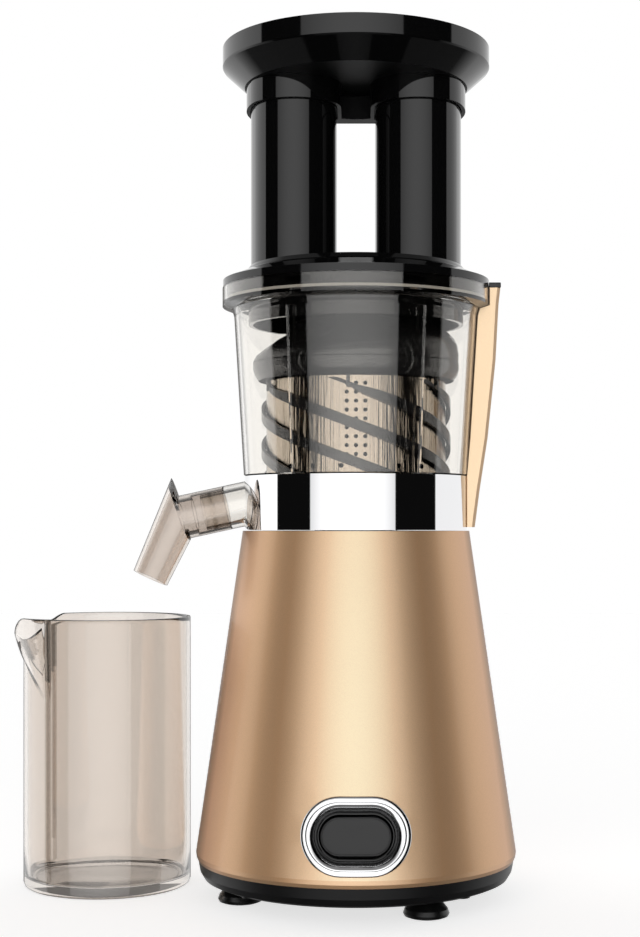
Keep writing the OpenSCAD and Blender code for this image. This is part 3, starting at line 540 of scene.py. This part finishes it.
def front_rings(section):
    """Rings over the front from the (inset, out) points of a section, the bezel's edge being 0."""
    return [
        [on_front(x, rise, out)
         for x, rise in stadium(BEZEL_WIDTH - 2 * inset, BEZEL_HEIGHT - 2 * inset)]
        for inset, out in section
    ]


def cut_off(bm, point, normal, **sides):
    """Cuts a mesh by a plane and clears a side of it."""
    everything = bm.verts[:] + bm.edges[:] + bm.faces[:]
    bmesh.ops.bisect_plane(bm, geom=everything, plane_co=point, plane_no=normal, **sides)


chrome = finish(
    "bright_chrome", (0.86, 0.86, 0.87), 0.03, tone=0.02, spread=0.01, depth=0.0, Metallic=1,
)
bezel = bmesh.new()
bezel_section = [
    (3.2, -4.4), (3.0, -0.2), (0, -0.15), (0.0, 0.35), (0.15, 0.75), (0.45, 1.05), (0.9, 1.25),
    (1.6, 1.38), (2.3, 1.38), (2.8, 1.3), (2.95, 1.05), (3.1, 0.9), (3.35, 1.0), (3.7, 0.95),
    (4.6, 0.45), (5.4, -0.25), (5.95, -0.9), (MOUTH_INSET, -1.5), (6.25, -4.4),
]
skin(bezel, front_rings(bezel_section))
placed(bezel, "bezel_ring", "base", chrome, stands_for=["switch_bezel"])

gloss_black = finish("gloss_black", (0.004, 0.004, 0.0042), 0.05, spread=0.04, depth=0.05)
cup = copy_of("switch_body")
hinge = on_front(0, 0, 0)
out_way = Vector((0, -math.cos(SLOPE), math.sin(SLOPE)))
cut_off(cup, (hinge - CUP_DEPTH * out_way) * MM, out_way, clear_outer=True)
cup_section = [
    (6.35, -5.4), (6.32, -2.4), (6.5, -2.1), (7.4, -2.1), (7.6, -1.9), (7.7, -1.1), (8.0, -0.75),
    (8.5, -0.62), (8.9, -0.75), (9.1, -1.2), (9.2, -5.4),
]
skin(cup, front_rings(cup_section))
placed(cup, "switch_cup", "base", gloss_black, stands_for=["switch_body"])

ROCKER_WIDTH = rocker_high.x - rocker_low.x
ROCKER_RUN = 16.2
ROCKER_HEIGHT = ROCKER_WIDTH - ROCKER_RUN
up_way = Vector((0, math.sin(SLOPE), math.cos(SLOPE)))


def rocker_face(inset, out, hollow):
    """A ring of the rocker, straight but for the hollow that its face is bent to."""
    ring = []
    for x, rise in stadium(ROCKER_WIDTH - 2 * inset, ROCKER_HEIGHT - 2 * inset):
        bend = hollow * (1 - (2 * x / ROCKER_WIDTH) ** 2)
        ring.append(Vector((x, 0, 0)) + hinge + rise * up_way + (out - bend) * out_way)
    return ring


rocker_black = finish("rocker_black", (0.021, 0.021, 0.0215), 0.42, depth=0.35)
button = bmesh.new()
closed_skin(button, [
    rocker_face(0, -8.9, 0), rocker_face(0, -3.3, 0.2), rocker_face(0.15, -2.9, 0.5),
    rocker_face(0.5, -2.7, 0.6), rocker_face(0.8, -2.75, 0.6), rocker_face(1.0, -2.95, 0.6),
    rocker_face(1.3, -3.0, 0.6), rocker_face(4.5, -3.0, 0.6), rocker_face(8.8, -3.0, 0.6),
])
placed(button, "rocker_button", "rocker", rocker_black, stands_for=["rocker"])


# Deck: the black plate that closes the base, with a boss that centres the bowl and a pale
# lip ring round the drive shaft. Six screws hold it from below.
pale_rubber = finish(
    "pale_silicone", (0.62, 0.6, 0.56), 0.4, Subsurface_Weight=0.2,
    Subsurface_Radius=(0.002, 0.002, 0.002),
)
dress(satin_black, "top_deck")
dress(turned_steel, "deck_screws")
dress(pale_rubber, "shaft_seal")


# Bowl: clear plastic with a light smoke tint, moulded in one piece with its brim, its four
# ribs, the juice stub and the pulp duct. A dark colour is painted where its wall turns away
# from the eye, as painted shade.
CLEAR_ROUGHNESS = 0.01
EDGE_SHADE_SPAN = 0.1
EDGE_SHADE_COVER = 0.8


def see_through(name, tint, edge_shade, turn, ior=1.62):
    """Clear tinted plastic that lets soft light through, with a dark colour painted as shade where
    it turns away.
    """
    material = bpy.data.materials.new(name)
    material.use_nodes = True
    tree = material.node_tree
    shader = tree.nodes["Principled BSDF"]
    place = wired(tree, "ShaderNodeTexCoord").outputs["Object"]
    cloud = wired(tree, "ShaderNodeTexNoise", {"Vector": place, "Scale": 30, "Detail": 2})
    shader.inputs["Base Color"].default_value = (*tint, 1)
    rough = reckoned(tree, "MULTIPLY_ADD", cloud.outputs[0], CLEAR_ROUGHNESS, CLEAR_ROUGHNESS)
    tree.links.new(rough, shader.inputs["Roughness"])
    shader.inputs["Transmission Weight"].default_value = 1
    shader.inputs["IOR"].default_value = ior
    ray = wired(tree, "ShaderNodeLightPath").outputs
    soft = reckoned(tree, "MAXIMUM", ray["Is Shadow Ray"], ray["Is Diffuse Ray"])
    clear = wired(tree, "ShaderNodeBsdfTransparent", {0: (*tint, 1)})
    slant = wired(tree, "ShaderNodeLayerWeight", {"Blend": 0.5}).outputs["Facing"]
    inputs = {
        "Value": slant, "From Min": turn, "From Max": turn + EDGE_SHADE_SPAN, "To Min": 0,
        "To Max": EDGE_SHADE_COVER,
    }
    turned = wired(tree, "ShaderNodeMapRange", inputs, clamp=True).outputs[0]
    # A dark diffuse colour, mixed in where the surface turns away from the eye: painted edge shade.
    painted_edge_shade = wired(tree, "ShaderNodeBsdfDiffuse", {"Color": (*edge_shade, 1)})
    solid = {0: turned, 1: shader.outputs[0], 2: painted_edge_shade.outputs[0]}
    edged = wired(tree, "ShaderNodeMixShader", solid)
    blend = wired(tree, "ShaderNodeMixShader", {0: soft, 1: edged.outputs[0], 2: clear.outputs[0]})
    tree.links.new(blend.outputs[0], tree.nodes["Material Output"].inputs[0])
    return material


smoke_bowl = see_through("smoke_bowl", (0.94, 0.922, 0.89), (0.1, 0.09, 0.08), 0.77, ior=1.55)
dress(smoke_bowl, "bowl", "flap_ears", "spout_ring")
dress(pale_rubber, "bowl_seal")
grey_rubber = finish("grey_silicone", (0.1, 0.1, 0.105), 0.45)
dress(grey_rubber, "pulp_flap")
dress(turned_steel, "flap_pin")


# Band: a thin chrome plated sleeve pressed round the bowl's foot.
dress(chrome, "chrome_band")


# Spine: the solid champagne handle up the right of the bowl, moulded and painted, with a wide
# bevel down its outer edges, and a black cap that closes its top.
BOWL_FOOT = HOUSING_TOP
band_top = size_of("chrome_band")[1]
bowl_top = size_of("bowl")[1].z
spine_low, spine_high = size_of("handle")
BRIM_RADIUS = reach("bowl", bowl_top - 3, bowl_top)
SPINE_HALF = spine_high.y
SPINE_BEVEL = (1.7, 1.6)
SPINE_STEP = 0.5
SPINE_GAP = 0.05
BACK_POINTS = (11.4, 8, 4, 0, -4, -8, -11.4)
inner_edge = [
    (spine_low.z, band_top.x), (spine_low.z + 6, band_top.x), (band_top.z, band_top.x),
    (band_top.z, band_top.x + 0.5), (bowl_top - 15.3, BRIM_RADIUS - 6.3),
    (bowl_top - 11.6, BRIM_RADIUS - 5.2), (bowl_top - 9.8, BRIM_RADIUS),
]
outer_edge = [
    (spine_low.z, RIM_RADIUS + 2.4), (BOWL_FOOT + 22, RIM_RADIUS + 5),
    (BOWL_FOOT + 50, RIM_RADIUS + 9.3), (BOWL_FOOT + 92, BRIM_RADIUS + 2.7),
    (bowl_top - 9.3, BRIM_RADIUS + 4.3), (spine_high.z, BRIM_RADIUS + 5.3),
]


def along(points, z):
    """The value at a height on the straight lines between (height, value) points."""
    for (low, start), (high, end) in zip(points, points[1:]):
        if z <= high:
            share = max(0, (z - low) / (high - low))
            return start + (end - start) * share
    return points[-1][1]


def spine_ring(z):
    """The spine's section at a height: its back hugs the bowl, its outer corners are bevelled."""
    outer = along(outer_edge, z)
    radius = along(inner_edge, z) + SPINE_GAP
    hug = [(math.sqrt(radius ** 2 - y ** 2), y) for y in BACK_POINTS]
    edge = math.sqrt(radius ** 2 - SPINE_HALF ** 2)
    cut = min(SPINE_BEVEL[0], (outer - edge) / 2)
    corner = [(edge + SPINE_STEP, SPINE_HALF), (outer - cut, SPINE_HALF)]
    corner += [(outer, SPINE_HALF - SPINE_BEVEL[1])]
    front = [(x, -y) for x, y in corner]
    return [(x, y, z) for x, y in front + corner[::-1] + hug]


levels = sorted({z for z, radius in inner_edge + outer_edge})
spine = bmesh.new()
closed_skin(spine, [spine_ring(z) for z in levels])
# As on the housing, the pale face-on stop is partly a painted highlight and the deeper slant partly
# painted shade, over real flop.
spine_flop_and_sheen_colours = [(0, (0.95, 0.72, 0.48)), (0.3, (0.85, 0.6, 0.38)), (1, (0.6, 0.42, 0.27))]
satin_gold = lacquer("champagne_spine", spine_flop_and_sheen_colours, 0.34, 0.2)
placed(spine, "champagne_spine", "bowl", satin_gold, stands_for=["handle"], crease=24)

CAP_ROUND = 0.4
SHARP_ANGLE = math.radians(28)
cap = copy_of("handle_cap")
bmesh.ops.dissolve_limit(cap, angle_limit=math.radians(0.4), verts=cap.verts, edges=cap.edges)
bmesh.ops.bevel(
    cap, geom=[e for e in cap.edges if e.is_manifold and e.calc_face_angle() > SHARP_ANGLE],
    offset=CAP_ROUND * MM, offset_type="OFFSET", segments=2, profile=0.5, affect="EDGES",
    clamp_overlap=True, material=-1,
)
placed(cap, "spine_cap", "bowl", gloss_black, stands_for=["handle_cap"])


# Strainer: a drum of thin sheet, rolled, punched with columns of small holes and moulded over.
# Fine upright ribs cover it, so it breaks the dark gaps of the studio into ragged streaks.
def streaked_sheet():
    """Node group: fine upright ribs of ragged length round the drum."""
    group = bpy.data.node_groups.new("streaked_sheet", "ShaderNodeTree")
    sockets_of(
        group,
        (("Color", "Color", (0.5, 0.4, 0.3, 1)), ("Ribs", "Float", 950), ("Length", "Float", 24),
         ("Depth", "Float", 1.0)),
        (("Color", "Color"), ("Roughness", "Float"), ("Normal", "Vector")),
    )
    given = wired(group, "NodeGroupInput").outputs
    place = wired(group, "ShaderNodeTexCoord").outputs["Object"]
    parts = wired(group, "ShaderNodeSeparateXYZ", {0: place})
    side = reckoned(group, "MULTIPLY", parts.outputs[0], given["Ribs"])
    depth = reckoned(group, "MULTIPLY", parts.outputs[1], given["Ribs"])
    height = reckoned(group, "MULTIPLY", parts.outputs[2], given["Length"])
    spot = wired(group, "ShaderNodeCombineXYZ", {0: side, 1: depth, 2: height}).outputs[0]
    ribs = wired(
        group, "ShaderNodeTexNoise", {"Vector": spot, "Scale": 1, "Detail": 1.5, "Roughness": 0.5},
    )
    tone = reckoned(group, "MULTIPLY_ADD", ribs.outputs[0], 0.25, 0.88)
    lit = scaled(group, given["Color"], tone)
    bump = wired(
        group, "ShaderNodeBump",
        {"Height": ribs.outputs[0], "Strength": given["Depth"], "Distance": 0.35 * MM},
    )
    rough = reckoned(group, "MULTIPLY_ADD", ribs.outputs[0], 0.06, 0.05)
    results = {"Color": lit, "Roughness": rough, "Normal": bump.outputs[0]}
    wired(group, "NodeGroupOutput", results)
    return group


drum_colour = {"Color": (0.5, 0.432, 0.355, 1), "Depth": 1.0}
beige = coated("beige_strainer", streaked_sheet(), drum_colour, Metallic=1)
dress(beige, "strainer")


# Wiper cage: a dark moulded ring with teeth below and a flared ring above, joined by six
# slanting bars. Each bar ends in a point under a slim stem, and carries a soft strip inside.
dark_grey = finish("dark_grey", (0.008, 0.008, 0.0085), 0.2, depth=0.05, IOR=1.75)
drum_top = size_of("strainer")[1].z
DRUM_RADIUS = reach("strainer", drum_top - 2, drum_top)
UP = (0, 0, 1)
BARS = 6
BAR_STEPS = 24
BAR_TURN = 3.05
BAR_HALF = 8.6
BAR_INSIDE = 1.1
BAR_OUTSIDE = 2.8
BAR_FOOT = BOWL_FOOT + 30.5
BAR_MIDDLE = BOWL_FOOT + 55.3
BAR_TIP = drum_top - 5.5
BAR_POINT = 5
STEM_HALF = 0.7
STEM_RADII = (49.9, 52)
STEM_ENDS = (BAR_TIP - 2, drum_top + 0.5)
RING_FOOT = drum_top - 0.9
cage = copy_of("wiper_cage")
cut_off(cage, (0, 0, BAR_FOOT * MM), UP, clear_outer=True)
upper = copy_of("wiper_cage")
cut_off(upper, (0, 0, RING_FOOT * MM), UP, clear_inner=True)
spare = bpy.data.meshes.new("upper_ring")
upper.to_mesh(spare)
upper.free()
cage.from_mesh(spare)
bpy.data.meshes.remove(spare)


def polar(radius, degrees, z):
    """A point at a radius and a turn round the upright axis."""
    turn = math.radians(degrees)
    return radius * math.cos(turn), radius * math.sin(turn), z


def bar_ring(z, start):
    """A bar's section at a height: two arcs round the drum's wall, drawn to a point at the tip."""
    middle = start - BAR_TURN * (z - BAR_MIDDLE)
    half = BAR_HALF * min(1, max(0.05, (BAR_TIP - z) / BAR_POINT)) ** 0.7
    across = (-1, -0.5, 0, 0.5, 1)
    outside = [polar(DRUM_RADIUS + BAR_OUTSIDE, middle + side * half, z) for side in across]
    inside = [polar(DRUM_RADIUS + BAR_INSIDE, middle + side * half, z) for side in across]
    return outside + inside[::-1]


def stem_ring(z, middle):
    """The section of the slim stem that a bar's tip hangs from."""
    inner, outer = STEM_RADII
    corners = (
        (outer, -STEM_HALF), (outer, STEM_HALF), (inner, STEM_HALF), (inner, -STEM_HALF),
    )
    return [polar(radius, middle + side, z) for radius, side in corners]


bar_low = BAR_FOOT - 0.5
bar_rise = BAR_TIP - BAR_FOOT + 0.4
heights = [bar_low + bar_rise * k / BAR_STEPS for k in range(BAR_STEPS + 1)]
for i in range(BARS):
    start = -90 + 360 / BARS * i
    closed_skin(cage, [bar_ring(z, start) for z in heights])
    tip = start - BAR_TURN * (BAR_TIP - BAR_MIDDLE)
    skin(cage, [stem_ring(z, tip) for z in STEM_ENDS])
placed(cage, "wiper_cage_look", "cage", dark_grey, stands_for=["wiper_cage"])
dress(grey_rubber, "cage_wipers")


# Auger: the dark pressing screw, moulded in one piece. The rim of its wide head is lower and
# its waist is slimmer on the left than on the right. A steel socket is pressed into its foot.
auger_top = size_of("auger")[1].z
HEAD_FOOT = BOWL_FOOT + 90.9
HEAD_LIFT = 0.6
HEAD_LIMIT = 57.2
HEAD_START = 150
ROUND = 96
screw = copy_of("auger")
cut_off(screw, (0, 0, HEAD_FOOT * MM), UP, clear_outer=True)
left_side = [
    (56.0, -0.6), (55.9, 0.1), (54.2, 3), (49.2, 7), (45.0, 10), (41.0, 12.8), (38.2, 15.2),
    (38.2, 17.4), (36.6, 20), (31, 22),
]
right_side = [
    (55.4, -0.6), (55.8, 0.6), (55.9, 3.8), (55.2, 8.6), (53.4, 12.4), (50.4, 15.4), (46.6, 18),
    (45.2, 20.2), (43.0, 22.2), (36, 24),
]
hub = [(22, auger_top - 9.5), (6, auger_top - 9.2), (6, auger_top - 0.4), (5.4, auger_top)]
turns = [HEAD_START + 360 * i / ROUND for i in range(ROUND)]


def head_ring(left, right):
    """A ring of the head that passes from its (radius, height) on the left to that on the right."""
    ring = []
    for turn in turns:
        share = (1 + math.cos(math.radians(turn))) / 2
        radius = left[0] + (right[0] - left[0]) * share
        height = left[1] + (right[1] - left[1]) * share
        ring.append(polar(min(radius, HEAD_LIMIT), turn, HEAD_FOOT + HEAD_LIFT + height))
    return ring


rings = [head_ring(left, right) for left, right in zip(left_side, right_side)]
rings += [[polar(radius, turn, z) for turn in turns] for radius, z in hub]
rows = skin(screw, rings)
screw.faces.new(rows[-1])
placed(screw, "auger_look", "auger", dark_grey, stands_for=["auger"], crease=40)
dress(turned_steel, "auger_socket")
dress(acetal, "idler_gear")


# Spout: the smoke coloured nozzle that pushes over the bowl's stub. It is moulded with a
# level and a down tube, whose joint leaves a slanting flat end.
smoke_spout = see_through("smoke_spout", (0.74, 0.68, 0.63), (0.08, 0.07, 0.065), 0.74)
dress(smoke_spout, "nozzle")


# Lid: glossy black, with its two feed tubes moulded on, a skirt inside the bowl, and a pale
# gasket under its rim.
dress(gloss_black, "lid")
dress(pale_rubber, "lid_gasket")


# Tray: the round glossy black hopper with two sockets that sit over the tubes and a web
# between them, and the two pushers that stand in it. The web and the downward faces near the
# tray's floor take a duller, less glossy black as painted shade.
painted_shade_black = finish("painted_shade_black", (0.009, 0.009, 0.0095), 0.5, Specular_IOR_Level=0.12)
WEB_HALF = (10.5, 17)
WEB_HEIGHT = 13
FLOOR_HEIGHT = 15
DOWNWARD = -0.95
dress(gloss_black, "hopper_tray")
tray_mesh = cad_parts["hopper_tray"].data
tray_mesh.materials.append(painted_shade_black)
tray_foot = size_of("hopper_tray")[0].z
# Faces of the web and downward faces low in the tray get the duller black: painted shade.
for polygon in tray_mesh.polygons:
    spot = polygon.center / MM
    height = spot.z - tray_foot
    shaded_web = abs(spot.x) < WEB_HALF[0] and abs(spot.y) < WEB_HALF[1] and height < WEB_HEIGHT
    if shaded_web or (polygon.normal.z < DOWNWARD and height < FLOOR_HEIGHT):
        polygon.material_index = 1
dress(satin_black, "pusher_left", "pusher_right")


# Jug: clear smoke plastic, moulded with a thick floor on a foot ring. Its rim falls towards a
# pinched beak on the left, whose sides meet the round wall at two upright folds. Darker tints
# are painted as shade along the folds and in the beak's crease.
smoke = see_through("smoke_jug", (0.8, 0.745, 0.695), (0.13, 0.12, 0.11), 0.84)
smoke_floor = see_through("smoke_floor", (0.52, 0.5, 0.48), (0.1, 0.1, 0.1), 0.84, ior=1.2)
# Darker tints for the folds and the beak's crease: painted shade.
smoke_fold_shade = see_through("smoke_fold_shade", (0.22, 0.2, 0.18), (0.03, 0.028, 0.025), 0.2)
smoke_crease_shade = see_through("smoke_crease_shade", (0.46, 0.4, 0.35), (0.06, 0.055, 0.05), 0.5)
jug_low, jug_high = size_of("jug")
JUG_TOP = jug_high.z
JUG_RADIUS = (jug_high.y - jug_low.y) / 2
JUG_CENTRE = Vector((jug_high.x - JUG_RADIUS, (jug_low.y + jug_high.y) / 2, 0))
JUG_WALL = 2.2
JUG_FLOOR = 6
JUG_POINTS = 180
BEAK_AIM = 188
BEAK_HALF = 46
BEAK_DEPTH = 19
BEAK_RUN = 27
BEAK_REACH = 4.1
BEAK_SWELL = 0.9
DIP_AIM = 171
DIP_HALF = 39
DIP_DEPTH = 14
DIP_HEIGHT = 46
FOLD = JUG_TOP - BEAK_DEPTH - BEAK_RUN
FOLD_SHADE_WIDTH = 0.04
FOLD_SHADE_FOOT = 12
FOLD_SHADE_TOP = 14
WARP_FOOT = 3
FLOOR_LEVEL = 7
FLOOR_INSET = 3
FLAT_RISE = 2
RIM_MARGIN = 3
WALL_SLOT, FLOOR_SLOT, FOLD_SHADE_SLOT, CREASE_SHADE_SLOT = range(4)


def beak_foot(part):
    """The height at which the beak springs from the wall, from its middle (0) to its side (1)."""
    return JUG_TOP - BEAK_DEPTH - BEAK_RUN * part ** 1.5


def jug_ring(radius, z):
    """A ring of the jug's wall at a height, pulled out and down where the beak is."""
    ring = []
    for i in range(JUG_POINTS):
        azimuth = 360 / JUG_POINTS * i + 0.5
        part = min(1, abs((azimuth - BEAK_AIM + 180) % 360 - 180) / BEAK_HALF)
        dip = min(1, abs(azimuth - DIP_AIM) / DIP_HALF)
        foot = beak_foot(part)
        reach_out = 0
        level = z
        if z > FOLD:
            lift = (z - FOLD) / (JUG_TOP - FOLD)
            level = foot + (JUG_TOP - foot) * lift
            if part < 1:
                reach_out = (BEAK_SWELL + BEAK_REACH * (1 - part ** 1.6)) * lift ** 0.7
        elif z > WARP_FOOT:
            level = WARP_FOOT + (z - WARP_FOOT) * (foot - WARP_FOOT) / (FOLD - WARP_FOOT)
        near_top = max(0, (level - JUG_TOP + DIP_HEIGHT) / DIP_HEIGHT)
        drop = DIP_DEPTH * math.cos(dip * math.pi / 2) ** 1.5 * near_top ** 1.5
        ring.append(JUG_CENTRE + Vector(polar(radius + reach_out, azimuth, level - drop)))
    return ring


def jug_slot(face):
    """The material slot of a face of the jug; the fold and crease slots are darker tints, painted
    shade.
    """
    middle = face.calc_center_median() - JUG_CENTRE * MM
    aim = math.degrees(math.atan2(middle.y, middle.x)) % 360
    part = abs(aim - BEAK_AIM) / BEAK_HALF
    level = middle.z / MM
    rise = max(v.co.z for v in face.verts) - min(v.co.z for v in face.verts)
    across = math.hypot(middle.x, middle.y)
    if level < FLOOR_LEVEL and across < (JUG_RADIUS - FLOOR_INSET) * MM:
        return FLOOR_SLOT
    if 1 - FOLD_SHADE_WIDTH < part < 1 + FOLD_SHADE_WIDTH and level > FOLD_SHADE_FOOT:
        return FOLD_SHADE_SLOT if level > FOLD + FOLD_SHADE_TOP else CREASE_SHADE_SLOT
    if part < 1 and rise < FLAT_RISE * MM and level < JUG_TOP - RIM_MARGIN:
        return CREASE_SHADE_SLOT
    return WALL_SLOT


heights = [WARP_FOOT, 20, 60, 90, 100, FOLD - 0.4, FOLD, FOLD + 0.6, *range(108, 145, 4), 147]
outside, inside = JUG_RADIUS, JUG_RADIUS - JUG_WALL
rings = [(12, 1.5), (outside - 6, 1.5), (outside - 5, 0.2), (outside - 2.5, 0)]
rings += [(outside - 0.8, 0.9), *((outside, z) for z in heights)]
rings += [(outside, JUG_TOP - 0.6), (outside - 0.3, JUG_TOP - 0.15), (outside - 0.8, JUG_TOP)]
rings += [(inside + 0.8, JUG_TOP), (inside + 0.3, JUG_TOP - 0.15), (inside, JUG_TOP - 0.6)]
rings += [(inside, z) for z in reversed(heights[1:])]
rings += [(inside, 8), (inside - 0.6, 6.6), (inside - 2, JUG_FLOOR), (12, JUG_FLOOR)]
jug = bmesh.new()
closed_skin(jug, [jug_ring(radius, z) for radius, z in rings])
for face in jug.faces:
    face.material_index = jug_slot(face)
placed(
    jug, "jug_look", "jug", smoke, smoke_floor, smoke_fold_shade, smoke_crease_shade, stands_for=["jug"],
    crease=40,
)
